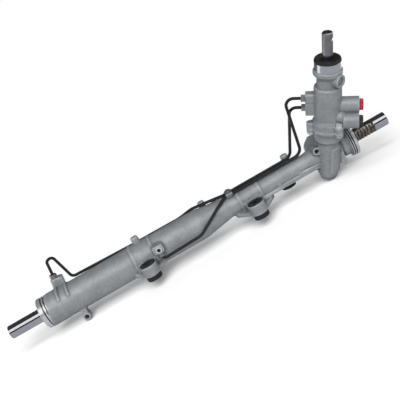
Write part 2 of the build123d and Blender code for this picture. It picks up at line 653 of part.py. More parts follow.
def valve_housing():
    shell = turned((0, JOINT), (FLANGE_R, JOINT), (FLANGE_R, FLANGE_TOP), (BODY_R + 0.8, BODY_LOW - 0.8),
                   (BODY_R, BODY_LOW),
                   (BODY_R, BODY_TOP), (BODY_R - 1.2, BODY_TOP + 1.6), (VALVE_NECK_R, VALVE_NECK_LOW),
                   (VALVE_NECK_R, VALVE_NECK_HIGH), (COLLAR_LAND_R, COLLAR_LOW),
                   (COLLAR_LAND_R, COLLAR_TOP), (0, COLLAR_TOP))
    block = Rot(0, 0, PIPE_SIDE) * Pos(BLOCK_REACH / 2, 0, (BLOCK_LOW + BLOCK_HIGH) / 2) * Box(
        BLOCK_REACH, BLOCK_DEPTH, BLOCK_HIGH - BLOCK_LOW)
    supply = side_rod(SUPPLY_R, 0, SUPPLY_REACH, SUPPLY_H, HOSE_SIDE)
    back = side_rod(RETURN_R, RETURN_START, RETURN_REACH, RETURN_H, HOSE_SIDE, -RETURN_OFFSET)
    neck = side_rod(RETURN_NECK_R, JOURNAL_R, RETURN_START + 3, RETURN_H, HOSE_SIDE, -RETURN_OFFSET / 2)
    lug = side_rod(LUG_R, 0, LUG_REACH, LUG_H, LUG_ANGLE)
    body = shell.fuse(block, supply, back, neck, lug, *bolt_ears(JOINT, EAR_TOP))
    bores = [rod(VALVE_BORE_R, JOINT - 1, SLEEVE_HIGH + 1), rod(NEEDLE_R, SLEEVE_HIGH, NEEDLE_HIGH),
             rod(JOURNAL_R + 1.5, NEEDLE_HIGH - 1, COLLAR_TOP + 1),
             side_rod(LUG_POCKET_R, LUG_REACH - LUG_POCKET, LUG_REACH + 1, LUG_H, LUG_ANGLE)]
    bores += [p * rod(BOLT_R + 0.4, JOINT - 1, FLANGE_TOP + 1) for p in bolt_places()]
    bores += [p * rod(BOLT_HEAD_R + 0.8, EAR_TOP, BODY_LOW + 1) for p in bolt_places()]
    bores.append(bolt_place(LOW_BOLT_ANGLE) * rod(BOLT_R, JOINT - 1, JOINT + BOLT_REACH))
    bores += [side_rod(PIPE_R + 1.2, VALVE_BORE_R - 4, BLOCK_REACH + 1, height, PIPE_SIDE, spread)
              for height, spread in (HIGH_PORT, LOW_PORT)]
    bores.append(side_rod(PLUG_SPIGOT_R, SUPPLY_REACH - PLUG_DEPTH, SUPPLY_REACH + 1, SUPPLY_H, HOSE_SIDE))
    bores.append(side_rod(OIL_WAY_R, VALVE_BORE_R - 4, SUPPLY_REACH, SUPPLY_H, HOSE_SIDE))
    depth = RETURN_REACH - PLUG_DEPTH
    bores.append(side_rod(PLUG_SPIGOT_R, depth, RETURN_REACH + 1, RETURN_H, HOSE_SIDE, -RETURN_OFFSET))
    inner = Vector(VALVE_BORE_R - 4, -RETURN_OFFSET / 2, RETURN_H)
    outer = Vector(depth + 1, -RETURN_OFFSET, RETURN_H)
    way = Plane(origin=inner, z_dir=outer - inner) * rod(OIL_WAY_R, 0, (outer - inner).length)
    bores.append(Rot(0, 0, HOSE_SIDE) * way)
    return TOWER * body.cut(*bores)


def flange_bolts():
    """Two socket bolts put in from above and one from below, under the pipe block."""
    socket = Pos(0, 0, BOLT_HEAD_H - 3) * extrude(RegularPolygon(3.4, 6), amount=4)
    head = rod(BOLT_HEAD_R, 0, BOLT_HEAD_H) - socket
    seat = EAR_TOP
    high = Pos(0, 0, seat) * (head + rod(BOLT_R, JOINT - BOLT_REACH + 1 - seat, 0))
    seat = EAR_LOW + 2
    low = Pos(0, 0, seat) * Rot(180, 0, 0) * (head + rod(BOLT_R, seat - JOINT - BOLT_REACH + 1, 0))
    bolts = [TOWER * p * high for p in bolt_places()]
    return Compound(bolts + [TOWER * bolt_place(LOW_BOLT_ANGLE) * low])


def seal_retainer():
    groove_top = INPUT_SEAL_HIGH + SNAP_RING_H
    return TOWER * turned((INPUT_SEAL_R, COLLAR_TOP), (RETAINER_R, COLLAR_TOP),
                          (RETAINER_R, RETAINER_TOP - 0.8), (RETAINER_R - 0.8, RETAINER_TOP),
                          (INPUT_SEAL_R, RETAINER_TOP), (INPUT_SEAL_R, groove_top),
                          (INPUT_SEAL_R + 1, groove_top), (INPUT_SEAL_R + 1, INPUT_SEAL_HIGH),
                          (INPUT_SEAL_R, INPUT_SEAL_HIGH))


def input_seal():
    inner = JOURNAL_R + RUNNING_FIT
    return TOWER * turned((inner + 1.2, INPUT_SEAL_LOW), (INPUT_SEAL_R, INPUT_SEAL_LOW),
                          (INPUT_SEAL_R, INPUT_SEAL_HIGH), (inner + 0.6, INPUT_SEAL_HIGH),
                          (inner + 0.6, INPUT_SEAL_HIGH - 2), (inner, INPUT_SEAL_LOW + 3))


def snap_ring():
    whole = ring(INPUT_SEAL_R + 0.9, INPUT_SEAL_R - 2, INPUT_SEAL_HIGH, INPUT_SEAL_HIGH + SNAP_RING_H)
    return TOWER * (whole - Pos(INPUT_SEAL_R, 0, INPUT_SEAL_HIGH) * Box(8, 6, 4))


def dust_cap():
    """Rubber cap with a raised rim, dished down to a lip round the shaft."""
    inner = JOURNAL_R + RUNNING_FIT
    low = RETAINER_TOP - 3
    return TOWER * turned((inner, low), (INPUT_SEAL_R, low), (INPUT_SEAL_R, RETAINER_TOP),
                          (DUST_R, RETAINER_TOP), (DUST_R, RETAINER_TOP + 1.6),
                          (DUST_R - 0.9, RETAINER_TOP + 2.2), (DUST_R - 0.9, DUST_TOP - 0.8),
                          (DUST_R - 1.7, DUST_TOP), (DUST_R - 3.4, DUST_TOP),
                          (DUST_R - 4.4, DUST_TOP - 1), (inner + 5, RETAINER_TOP + 0.6),
                          (inner + 2.6, RETAINER_TOP + 0.6), (inner + 1.8, RETAINER_TOP + 3),
                          (inner, RETAINER_TOP + 3))


def input_bearing():
    return TOWER * ring(NEEDLE_R, JOURNAL_R + RUNNING_FIT, NEEDLE_LOW, NEEDLE_HIGH)


def port_plug(height, reach, offset):
    spigot = side_rod(PLUG_SPIGOT_R, reach - PLUG_DEPTH + 1, reach, height, HOSE_SIDE, offset)
    flange = side_rod(PLUG_R, reach, reach + PLUG_PROUD, height, HOSE_SIDE, offset)
    hollow = side_rod(PLUG_SPIGOT_R - 1.6, reach + 1.5, reach + PLUG_PROUD + 1, height, HOSE_SIDE, offset)
    return TOWER * (spigot + flange - hollow)


# Rotating parts of the tower

def half_angle(radius):
    """Half of a pinion tooth's angle at a radius, on an involute flank."""
    def involute(a):
        return math.tan(a) - a
    shift = 2 * PROFILE_SHIFT * MODULE * math.tan(math.radians(PRESSURE_ANGLE))
    thickness = TOOTH_PITCH / 2 + shift - BACKLASH
    at_pitch = thickness / math.cos(SKEW) / (2 * PITCH_R)
    return at_pitch + involute(SIDE_PRESSURE) - involute(math.acos(min(1.0, BASE_R / radius)))


def tooth_point(radius, angle):
    return (radius * math.cos(angle), radius * math.sin(angle))


def pinion_outline():
    """The toothed section, with one tooth pointing at the rack."""
    edges = []
    step = 2 * math.pi / PINION_TEETH
    radii = [BASE_R + (TIP_R - BASE_R) * i / 4 for i in range(5)]
    for k in range(PINION_TEETH):
        middle = math.pi / 2 + k * step
        rising = [tooth_point(r, middle - half_angle(r)) for r in radii]
        falling = [tooth_point(r, middle + half_angle(r)) for r in reversed(radii)]
        foot = half_angle(BASE_R)
        leave = tooth_point(ROOT_R, middle + foot)
        following = tooth_point(ROOT_R, middle + step - foot)
        edges += [Line(tooth_point(ROOT_R, middle - foot), rising[0]), Spline(*rising),
                  ThreePointArc(rising[-1], tooth_point(TIP_R, middle), falling[0]), Spline(*falling),
                  Line(falling[-1], leave),
                  ThreePointArc(leave, tooth_point(ROOT_R, middle + step / 2), following)]
    return Face(Wire(edges))


def pinion_teeth():
    """The outline swept along the tower axis while it turns with the helix."""
    half = PINION_FACE / 2
    lead = 2 * math.pi * PITCH_R / math.tan(SKEW)
    start_turn = -360 * half / lead
    outline = Pos(0, 0, -half) * Rot(0, 0, start_turn) * pinion_outline()
    guide = Pos(0, 0, -half) * Helix(pitch=lead, height=PINION_FACE, radius=PITCH_R)
    return sweep(outline, path=Line((0, 0, -half), (0, 0, half)), binormal=guide)


def pinion_shaft():
    low = LOWER_BEARING_LOW - PINION_NUT_H - 0.5
    half = PINION_FACE / 2
    shaft = rod(LOWER_JOURNAL_R, low, -half) + rod(ROOT_R + 1.2, LOWER_BEARING_HIGH, -half)
    shaft += rod(ROOT_R, -half, half + 3) + rod(UPPER_JOURNAL_R, half + 3, HEAD_LOW)
    shaft += rod(HEAD_R, HEAD_LOW, SLEEVE_LOW)
    shaft = shaft.fuse(pinion_teeth())
    shaft -= rod(TORSION_HEAD_R, TORSION_LOW, SLEEVE_LOW + 1)
    shaft -= rod(TORSION_BORE_R, TORSION_LOW + TORSION_HEAD_H, SLEEVE_LOW + 1)
    return TOWER * shaft


def torsion_bar():
    bar = rod(TORSION_R, TORSION_LOW, TORSION_HIGH)
    bar += rod(TORSION_HEAD_R, TORSION_LOW, TORSION_LOW + TORSION_HEAD_H)
    bar += rod(TORSION_HEAD_R, TORSION_HIGH - TORSION_HEAD_H, TORSION_HIGH)
    return TOWER * bar


def ring_heights():
    gap = (SLEEVE_HIGH - SLEEVE_LOW) / 5
    return [SLEEVE_LOW + gap * (i + 1) - VALVE_RING_W / 2 for i in range(4)]


def valve_sleeve():
    sleeve = ring(SLEEVE_OUT_R, SLEEVE_IN_R + RUNNING_FIT, SLEEVE_LOW, SLEEVE_HIGH)
    for low in ring_heights():
        sleeve -= ring(SLEEVE_OUT_R + 1, SLEEVE_OUT_R - VALVE_RING_DEPTH, low, low + VALVE_RING_W)
    for low, high in zip(ring_heights(), ring_heights()[1:]):
        middle = (low + high + VALVE_RING_W) / 2
        sleeve -= ring(SLEEVE_OUT_R + 1, SLEEVE_OUT_R - 1.2, middle - 3, middle + 3)
        hole = Pos(SLEEVE_IN_R, 0, middle) * Rot(0, 90, 0) * Cylinder(1.6, 20)
        sleeve -= [Rot(0, 0, a) * hole for a in (0, 90, 180, 270)]
    return TOWER * sleeve


def valve_rings():
    inner = SLEEVE_OUT_R - VALVE_RING_DEPTH
    return Compound([TOWER * ring(VALVE_BORE_R - RUNNING_FIT, inner, low, low + VALVE_RING_W)
                     for low in ring_heights()])


def input_shaft():
    shaft = turned((0, INPUT_LOW), (INPUT_R, INPUT_LOW), (INPUT_R, SLEEVE_HIGH + 2),
                   (JOURNAL_R, SLEEVE_HIGH + 3), (JOURNAL_R, SPLINE_LOW - 3), (SPLINE_ROOT_R, SPLINE_LOW),
                   (SPLINE_ROOT_R, SHAFT_TOP - 1), (SPLINE_ROOT_R - 1, SHAFT_TOP), (0, SHAFT_TOP))
    foot = SPLINE_ROOT_R - 0.4
    tooth = make_face(Polyline((foot, -0.55), (SPLINE_R, -0.2), (SPLINE_R, 0.2), (foot, 0.55), close=True))
    spline = extrude(tooth, amount=SHAFT_TOP - 2 - SPLINE_LOW)
    step = 360 / SPLINE_COUNT
    shaft = shaft.fuse(*[Rot(0, 0, i * step) * Pos(0, 0, SPLINE_LOW) * spline for i in range(SPLINE_COUNT)])
    notch = Rot(90, 0, 0) * Cylinder(NOTCH_R, 4 * SPLINE_R)
    shaft -= Rot(0, 0, HOSE_SIDE) * Pos(SPLINE_R + NOTCH_R - NOTCH_DEPTH, 0, NOTCH_H) * notch
    shaft -= rod(TORSION_BORE_R, INPUT_LOW - 1, TORSION_HIGH - TORSION_HEAD_H)
    shaft -= rod(TORSION_HEAD_R + 0.02, TORSION_HIGH - TORSION_HEAD_H, TORSION_HIGH + 0.5)
    slot = Pos(INPUT_R, 0, (SLEEVE_LOW + SLEEVE_HIGH) / 2) * Box(1.6, 2.4, 50)
    return TOWER * (shaft - [Rot(0, 0, 45 * i) * slot for i in range(8)])


def bearing_race(outer, inner):
    """One race of the lower ball bearing, with its running groove."""
    race = ring(outer, inner, LOWER_BEARING_LOW, LOWER_BEARING_HIGH)
    middle = (LOWER_BEARING_LOW + LOWER_BEARING_HIGH) / 2
    return TOWER * (race - Pos(0, 0, middle) * Torus(BALL_CIRCLE_R, BALL_R + 0.01))


def bearing_balls():
    middle = (LOWER_BEARING_LOW + LOWER_BEARING_HIGH) / 2
    ball = Pos(BALL_CIRCLE_R, 0, middle) * Sphere(BALL_R)
    return Compound([TOWER * Rot(0, 0, 360 * i / BALL_COUNT) * ball for i in range(BALL_COUNT)])


def pinion_nut():
    low = LOWER_BEARING_LOW - PINION_NUT_H
    nut = Pos(0, 0, low) * extrude(RegularPolygon(PINION_NUT_R, 6), amount=PINION_NUT_H)
    return TOWER * (nut - rod(LOWER_JOURNAL_R, low - 1, LOWER_BEARING_LOW + 1))


def bottom_cap():
    """The round cap under the pinion, with a spigot that holds the outer race."""
    floor = BOTTOM_CAP_LOW + BOTTOM_CAP_WALL
    inner = LOWER_BEARING_R - BOTTOM_CAP_WALL
    return TOWER * turned((0, BOTTOM_CAP_LOW), (BOTTOM_CAP_R - 4, BOTTOM_CAP_LOW),
                          (BOTTOM_CAP_R, BOTTOM_CAP_LOW + 3), (BOTTOM_CAP_R, TOWER_BOTTOM),
                          (LOWER_BEARING_R, TOWER_BOTTOM), (LOWER_BEARING_R, LOWER_BEARING_LOW),
                          (inner, LOWER_BEARING_LOW), (inner, floor), (0, floor))


def upper_bush():
    inner = UPPER_JOURNAL_R + RUNNING_FIT
    return TOWER * ring(UPPER_BEARING_R, inner, UPPER_BEARING_LOW, UPPER_BEARING_HIGH)


# Yoke group

def yoke():
    body = rod(YOKE_R, 0, YOKE_END)
    saddle = Rot(0, 90, 0) * Cylinder(BAR_R + YOKE_LINER, 4 * YOKE_R)
    well = rod(SPRING_R + SPRING_WIRE_R + 1, YOKE_END - 4, YOKE_END + 1)
    front = Pos(0, 0, -1) * Box(80, 80, 12)
    return YOKE * (body - saddle - well - front)


def yoke_liner():
    shell = Rot(0, 90, 0) * (Cylinder(BAR_R + YOKE_LINER, 26) - Cylinder(BAR_R + RUNNING_FIT, 27))
    return YOKE * (shell & (rod(YOKE_R - 0.4, 5.2, YOKE_END)))


def yoke_spring():
    low = YOKE_END - 4 + SPRING_WIRE_R + 0.02
    high = YOKE_PLUG_START - SPRING_WIRE_R + 2.9
    path = Pos(0, 0, low) * Helix(pitch=(high - low) / SPRING_TURNS, height=high - low, radius=SPRING_R)
    section = Plane(origin=path @ 0, z_dir=path % 0) * Circle(SPRING_WIRE_R * 0.6)
    return YOKE * sweep(section, path=path, is_frenet=True)


def yoke_plug():
    plug = rod(YOKE_PLUG_R, YOKE_PLUG_START, YOKE_PLUG_END)
    hollow = rod(SPRING_R + SPRING_WIRE_R + 1, YOKE_PLUG_START - 1, YOKE_PLUG_START + 3)
    key = Pos(0, 0, YOKE_PLUG_END - 6) * extrude(RegularPolygon(9.5, 6), amount=7)
    return YOKE * (plug - hollow - key)


def yoke_locknut():
    nut = Pos(0, 0, YOKE_BOSS_END) * extrude(RegularPolygon(YOKE_NUT_R, 6), amount=YOKE_NUT_H)
    return YOKE * (nut - rod(YOKE_PLUG_R, YOKE_BOSS_END - 1, YOKE_PLUG_END))


# Pipes, their nuts and clamp

def left_port_place():
    return Pos(LEFT_PORT_X, LEFT_PORT_Y, LEFT_PORT_TOP) * Rot(0, LEFT_PORT_LEAN, 0)


def middle_port_place():
    return Pos(MIDDLE_PORT_X, MIDDLE_PORT_Y, MIDDLE_PORT_FACE) * Rot(180, 0, 0)


def clamp_place():
    middle = (Vector(*ROUTE_FRONT[3]) + Vector(*ROUTE_REAR[3])) / 2
    across = Vector(*ROUTE_REAR[3]) - Vector(*ROUTE_FRONT[3])
    return Pos(CLAMP_X, middle.Y, middle.Z) * Rot(math.degrees(math.atan2(across.Z, across.Y)), 0, 0)


def tube_nut():
    body = extrude(RegularPolygon(NUT_FLATS / 2, 6, major_radius=False), amount=NUT_LENGTH)
    return body - rod(PIPE_R, -1, NUT_LENGTH + 1)


def side_nut(height, spread):
    return TOWER * Rot(0, 0, PIPE_SIDE) * Pos(BLOCK_REACH, spread, height) * Rot(0, 90, 0) * tube_nut()


ROUTE_FRONT = (
    tuple(port_point(*HIGH_PORT, BLOCK_REACH - 6)),
    tuple(port_point(*HIGH_PORT, 77.0)),
    (558.0, -8.3, 23.2),
    (394.0, -8.3, 23.2),
    (370.5, -24.2, 15.3),
    (347.0, -32.3, 3.2),
    (322.5, -33.8, -10.6),
    (MIDDLE_PORT_X, MIDDLE_PORT_Y, -12.5),
    (MIDDLE_PORT_X, MIDDLE_PORT_Y, MIDDLE_PORT_FACE + 4.0),
)
RADII_FRONT = (14.0, 16.0, 9.0, 30.0, 40.0, 24.0, 6.6)
ROUTE_REAR = (
    tuple(port_point(*LOW_PORT, BLOCK_REACH - 6)),
    tuple(port_point(*LOW_PORT, 68.5)),
    (538.0, 3.2, 25.0),
    (392.0, 3.2, 25.0),
    (352.0, 7.0, 29.4),
    (329.0, 16.0, 29.3),
    (300.0, 25.2, 22.8),
    (200.0, 25.5, 23.8),
    (73.0, LEFT_PORT_Y + 3, 30.6),
    (61.0, LEFT_PORT_Y, 84.0),
    (LEFT_PORT_X + 4.3, LEFT_PORT_Y, 82.0),
    (LEFT_PORT_X - 0.6, LEFT_PORT_Y, LEFT_PORT_TOP - 5.0),
)
RADII_REAR = (13.0, 16.0, 22.0, 40.0, 30.0, 30.0, 200.0, 9.0, 7.4, 7.4)


def pipe(route, radii):
    path = FilletPolyline(*route, radius=list(radii))
    section = Plane(origin=path @ 0, z_dir=path % 0) * Circle(PIPE_R - 0.03)
    tube = sweep(section, path=path)
    return tube


def pipe_clamp():
    """A saddle strap over both pipes, held by one screw between them."""
    spacing = math.hypot(ROUTE_REAR[3][1] - ROUTE_FRONT[3][1], ROUTE_REAR[3][2] - ROUTE_FRONT[3][2])
    outline = SlotCenterToCenter(spacing, 2 * (PIPE_R + CLAMP_WALL))
    block = Pos(-CLAMP_W / 2, 0, 0) * extrude(Plane.YZ * outline, amount=CLAMP_W)
    holes = [Pos(0, s * spacing / 2, 0) * Rot(0, 90, 0) * Cylinder(PIPE_R, 3 * CLAMP_W) for s in (-1, 1)]
    return clamp_place() * (block - holes - rod(CLAMP_SCREW_R, -20, 20))


def clamp_screw():
    head_low = PIPE_R + CLAMP_WALL
    screw = rod(CLAMP_SCREW_R, -8, head_low) + rod(4.2, head_low, head_low + 3)
    slot = Pos(0, 0, head_low + 1.4) * extrude(RegularPolygon(2.2, 6), amount=3)
    return clamp_place() * (screw - slot)


def pieces():
    made = {
        "rack_housing": rack_housing(),
        "rack_bar": rack_bar(),
        "piston": piston(),
        "piston_ring": piston_ring(),
        "piston_circlips": piston_circlips(),
        "left_end_cap": left_end_cap(),
        "end_cap_wire": end_cap_wire(),
        "end_cap_o_ring": end_cap_o_ring(),
        "left_rack_seal": left_rack_seal(),
        "inner_rack_seal": inner_rack_seal(),
        "seal_spacer": seal_spacer(),
        "rack_bush": rack_bush(),
        "bush_retainer": bush_retainer(),
        "valve_housing": valve_housing(),
        "flange_bolts": flange_bolts(),
        "seal_retainer": seal_retainer(),
        "input_seal": input_seal(),
        "snap_ring": snap_ring(),
        "dust_cap": dust_cap(),
        "input_bearing": input_bearing(),
        "supply_plug": port_plug(SUPPLY_H, SUPPLY_REACH, 0),
        "return_plug": port_plug(RETURN_H, RETURN_REACH, -RETURN_OFFSET),
        "pinion_shaft": pinion_shaft(),
        "torsion_bar": torsion_bar(),
        "valve_sleeve": valve_sleeve(),
        "valve_rings": valve_rings(),
        "input_shaft": input_shaft(),
        "pinion_nut": pinion_nut(),
        "bearing_inner_race": bearing_race(LOWER_JOURNAL_R + RACE_WALL, LOWER_JOURNAL_R),
        "bearing_outer_race": bearing_race(LOWER_BEARING_R, LOWER_BEARING_R - RACE_WALL),
        "bearing_balls": bearing_balls(),
        "bottom_cap": bottom_cap(),
        "upper_bush": upper_bush(),
        "yoke": yoke(),
        "yoke_liner": yoke_liner(),
        "yoke_spring": yoke_spring(),
        "yoke_plug": yoke_plug(),
        "yoke_locknut": yoke_locknut(),
        "upper_tube_nut": side_nut(*HIGH_PORT),
        "lower_tube_nut": side_nut(*LOW_PORT),
        "left_tube_nut": left_port_place() * tube_nut(),
        "middle_tube_nut": middle_port_place() * tube_nut(),
        "front_pipe": pipe(ROUTE_FRONT, RADII_FRONT),
        "rear_pipe": pipe(ROUTE_REAR, RADII_REAR),
        "pipe_clamp": pipe_clamp(),
        "clamp_screw": clamp_screw(),
    }
    for name, x, y in zip(MOUNT_NAME, MOUNT_X, MOUNT_Y):
        made[name + "_mount_rubber"] = mount_rubber(x, y)
        made[name + "_mount_sleeve"] = mount_sleeve(x, y)
    return made


os.makedirs("parts", exist_ok=True)
for node, shape in pieces().items():
    export_step(shape, "parts/" + node + ".step")
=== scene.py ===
import json
import math

import bpy
from mathutils import Matrix, Vector

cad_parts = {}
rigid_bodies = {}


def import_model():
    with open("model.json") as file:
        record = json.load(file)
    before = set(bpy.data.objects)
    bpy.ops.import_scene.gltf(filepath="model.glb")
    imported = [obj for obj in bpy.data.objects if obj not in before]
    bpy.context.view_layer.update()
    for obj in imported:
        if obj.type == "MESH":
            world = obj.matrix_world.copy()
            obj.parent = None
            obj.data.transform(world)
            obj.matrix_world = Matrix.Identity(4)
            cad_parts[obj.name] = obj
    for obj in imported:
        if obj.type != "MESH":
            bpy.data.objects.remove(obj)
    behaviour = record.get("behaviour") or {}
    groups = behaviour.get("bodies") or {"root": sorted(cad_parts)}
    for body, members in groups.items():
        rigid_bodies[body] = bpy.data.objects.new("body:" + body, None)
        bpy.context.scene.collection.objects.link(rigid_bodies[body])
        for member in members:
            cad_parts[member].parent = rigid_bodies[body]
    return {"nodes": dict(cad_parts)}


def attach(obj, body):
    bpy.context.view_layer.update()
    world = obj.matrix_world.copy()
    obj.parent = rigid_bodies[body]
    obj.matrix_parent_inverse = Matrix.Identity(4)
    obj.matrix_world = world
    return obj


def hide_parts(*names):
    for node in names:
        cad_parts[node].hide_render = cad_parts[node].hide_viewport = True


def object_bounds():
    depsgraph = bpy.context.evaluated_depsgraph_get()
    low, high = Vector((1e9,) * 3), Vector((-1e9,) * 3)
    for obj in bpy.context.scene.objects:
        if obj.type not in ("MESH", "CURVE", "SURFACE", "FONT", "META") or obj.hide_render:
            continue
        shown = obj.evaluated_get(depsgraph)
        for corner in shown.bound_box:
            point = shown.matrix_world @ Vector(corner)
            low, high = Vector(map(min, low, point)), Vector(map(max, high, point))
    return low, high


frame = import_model()
node = frame["nodes"]
cad_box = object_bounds()

# Camera: it stands in front of the rack and a little above it, and is turned so that the rack rises to the
# right across the picture.
camera_right = (0.8675, -0.1204, -0.4826)
camera_up = (0.4974, 0.2099, 0.8417)
camera_back = (0.0, -0.9703, 0.2419)
camera_turn = Matrix((camera_right, camera_up, camera_back)).transposed().to_4x4()
bpy.ops.object.camera_add(location=(0.35219, -1.28971, 0.36177))
camera = bpy.context.object
camera.matrix_world = Matrix.Translation(camera.location) @ camera_turn
camera.data.lens = 64.44
camera.data.sensor_width = 36.0
camera.data.sensor_fit = "HORIZONTAL"
bpy.context.scene.camera = camera
bpy.context.scene.view_settings.view_transform = "Standard"


# Room: white paper hangs all round, as polished metal mirrors it too, and a soft sky with a little blue in it
# lights the rack evenly.

def either_ray(tree, first, second):
    """One where either kind of ray looks, and nought elsewhere."""
    either = tree.nodes.new("ShaderNodeMath")
    either.operation = "ADD"
    either.use_clamp = True
    tree.links.new(first, either.inputs[0])
    tree.links.new(second, either.inputs[1])
    return either.outputs[0]


sky_colour = (0.90, 0.94, 1.0, 1.0)
sky_strength = 0.16
paper_white = (1.0, 1.0, 1.0, 1.0)
world = bpy.data.worlds.new("studio")
bpy.context.scene.world = world
world.use_nodes = True
tree = world.node_tree
tree.nodes.clear()
path = tree.nodes.new("ShaderNodeLightPath")
seen = either_ray(tree, path.outputs["Is Camera Ray"], path.outputs["Is Glossy Ray"])
clear = either_ray(tree, seen, path.outputs["Is Transmission Ray"])
sky = tree.nodes.new("ShaderNodeBackground")
sky.inputs["Color"].default_value = sky_colour
sky.inputs["Strength"].default_value = sky_strength
paper = tree.nodes.new("ShaderNodeBackground")
paper.inputs["Color"].default_value = paper_white
paper.inputs["Strength"].default_value = 1.0
mixed = tree.nodes.new("ShaderNodeMixShader")
tree.links.new(clear, mixed.inputs[0])
tree.links.new(sky.outputs[0], mixed.inputs[1])
tree.links.new(paper.outputs[0], mixed.inputs[2])
room = tree.nodes.new("ShaderNodeOutputWorld")
tree.links.new(mixed.outputs[0], room.inputs["Surface"])

# Lamps: a very broad one high in front, a lower one from the front, and a weak one behind, without a shadow,
# that keeps the back from being dark. Each has its turn, energy, breadth and shadow, and none is mirrored.
high_lamp = ((38.0, -4.0, 0.0), 2.3, 60.0, True)
front_lamp = ((66.0, 0.0, -6.0), 2.3, 36.0, True)
back_lamp = ((-64.0, 0.0, 12.0), 0.5, 60.0, False)
for turn, energy, breadth, shadow in (high_lamp, front_lamp, back_lamp):
    bpy.ops.object.light_add(type="SUN", rotation=[math.radians(angle) for angle in turn])
    lamp = bpy.context.object
    lamp.data.energy = energy
    lamp.data.angle = math.radians(breadth)
    lamp.data.use_shadow = shadow
    lamp.visible_glossy = False

# Floor: white paper just under the rack, which keeps its soft shadow. It glows a little, so that it is pure
# white where no shadow falls.
floor_size = 30.0
floor_gap = 0.0002
floor_colour = (0.93, 0.926, 0.92, 1.0)
floor_glow = 0.03
low = cad_box[0][2]
bpy.ops.mesh.primitive_plane_add(size=floor_size, location=(0.35, 6.0, low - floor_gap))
floor = bpy.context.object
floor.name = "paper_floor"
white = bpy.data.materials.new("white_paper")
white.use_nodes = True
tree = white.node_tree
paint = tree.nodes["Principled BSDF"]
paint.inputs["Base Color"].default_value = floor_colour
paint.inputs["Roughness"].default_value = 0.9
paint.inputs["Specular IOR Level"].default_value = 0.1
path = tree.nodes.new("ShaderNodeLightPath")
seen = either_ray(tree, path.outputs["Is Camera Ray"], path.outputs["Is Glossy Ray"])
lift = tree.nodes.new("ShaderNodeMath")
lift.operation = "MULTIPLY"
lift.inputs[1].default_value = floor_glow
tree.links.new(seen, lift.inputs[0])
paint.inputs["Emission Color"].default_value = paper_white
tree.links.new(lift.outputs[0], paint.inputs["Emission Strength"])
floor.data.materials.append(white)

# Screens: black ones hang behind, above and far in front of the rack, and a grey cloth lies before it, all
# out of sight. Polished metal shows them as its dark bands, and they take no light from the rack. Each has
# its middle, tilt, height and tone.
screen_width = 14.0
screen_blue = 1.07
screens = (("back_screen", (0.35, 4.0, 1.3), 90.0, 2.7, 0.035),
           ("upper_screen", (0.35, 1.4, 2.5), 0.0, 5.3, 0.03),
           ("front_screen", (0.35, -2.6, 0.5), 90.0, 1.1, 0.01),
           ("floor_cloth", (0.35, -1.2, low + 0.001), 0.0, 2.7, 0.36))
for name, middle, tilt, height, tone in screens:
    bpy.ops.mesh.primitive_plane_add(size=1.0, location=middle, rotation=(math.radians(tilt), 0.0, 0.0))
    screen = bpy.context.object
    screen.name = name
    screen.scale = (screen_width, height, 1.0)
    screen.visible_camera = False
    screen.visible_shadow = False
    screen.visible_diffuse = False
    matt = bpy.data.materials.new(name)
    matt.use_nodes = True
    cloth = matt.node_tree.nodes["Principled BSDF"]
    cloth.inputs["Base Color"].default_value = (tone, tone, tone * screen_blue, 1.0)
    cloth.inputs["Roughness"].default_value = 1.0
    screen.data.materials.append(matt)


# Rack housing: one long aluminium casting with the bush eyes and the foot of the tower, blasted to a fine
# grey grain. Its mould rounds every edge, so it is a copy of the solid, cast again with soft edges.

def noise(tree, size, detail):
    """A noise in the object's own coordinates, whose lumps are about this size."""
    made = tree.nodes.new("ShaderNodeTexNoise")
    made.inputs["Scale"].default_value = 1 / size
    made.inputs["Detail"].default_value = detail
    tree.links.new(tree.nodes["place"].outputs["Object"], made.inputs["Vector"])
    return made


def ranged(tree, value, to_low, to_high, from_low=0.0, from_high=1.0):
    """The value, stretched from one range to another and held in it."""
    made = tree.nodes.new("ShaderNodeMapRange")
    made.inputs["From Min"].default_value = from_low
    made.inputs["From Max"].default_value = from_high
    made.inputs["To Min"].default_value = to_low
    made.inputs["To Max"].default_value = to_high
    tree.links.new(value, made.inputs["Value"])
    return made.outputs["Result"]


def lit_by(tree, colour, share, name):
    """The colour, lighter or darker by the share."""
    made = tree.nodes.new("ShaderNodeVectorMath")
    made.name = name
    made.operation = "SCALE"
    tree.links.new(colour, made.inputs[0])
    tree.links.new(share, made.inputs["Scale"])
    return made.outputs["Vector"]


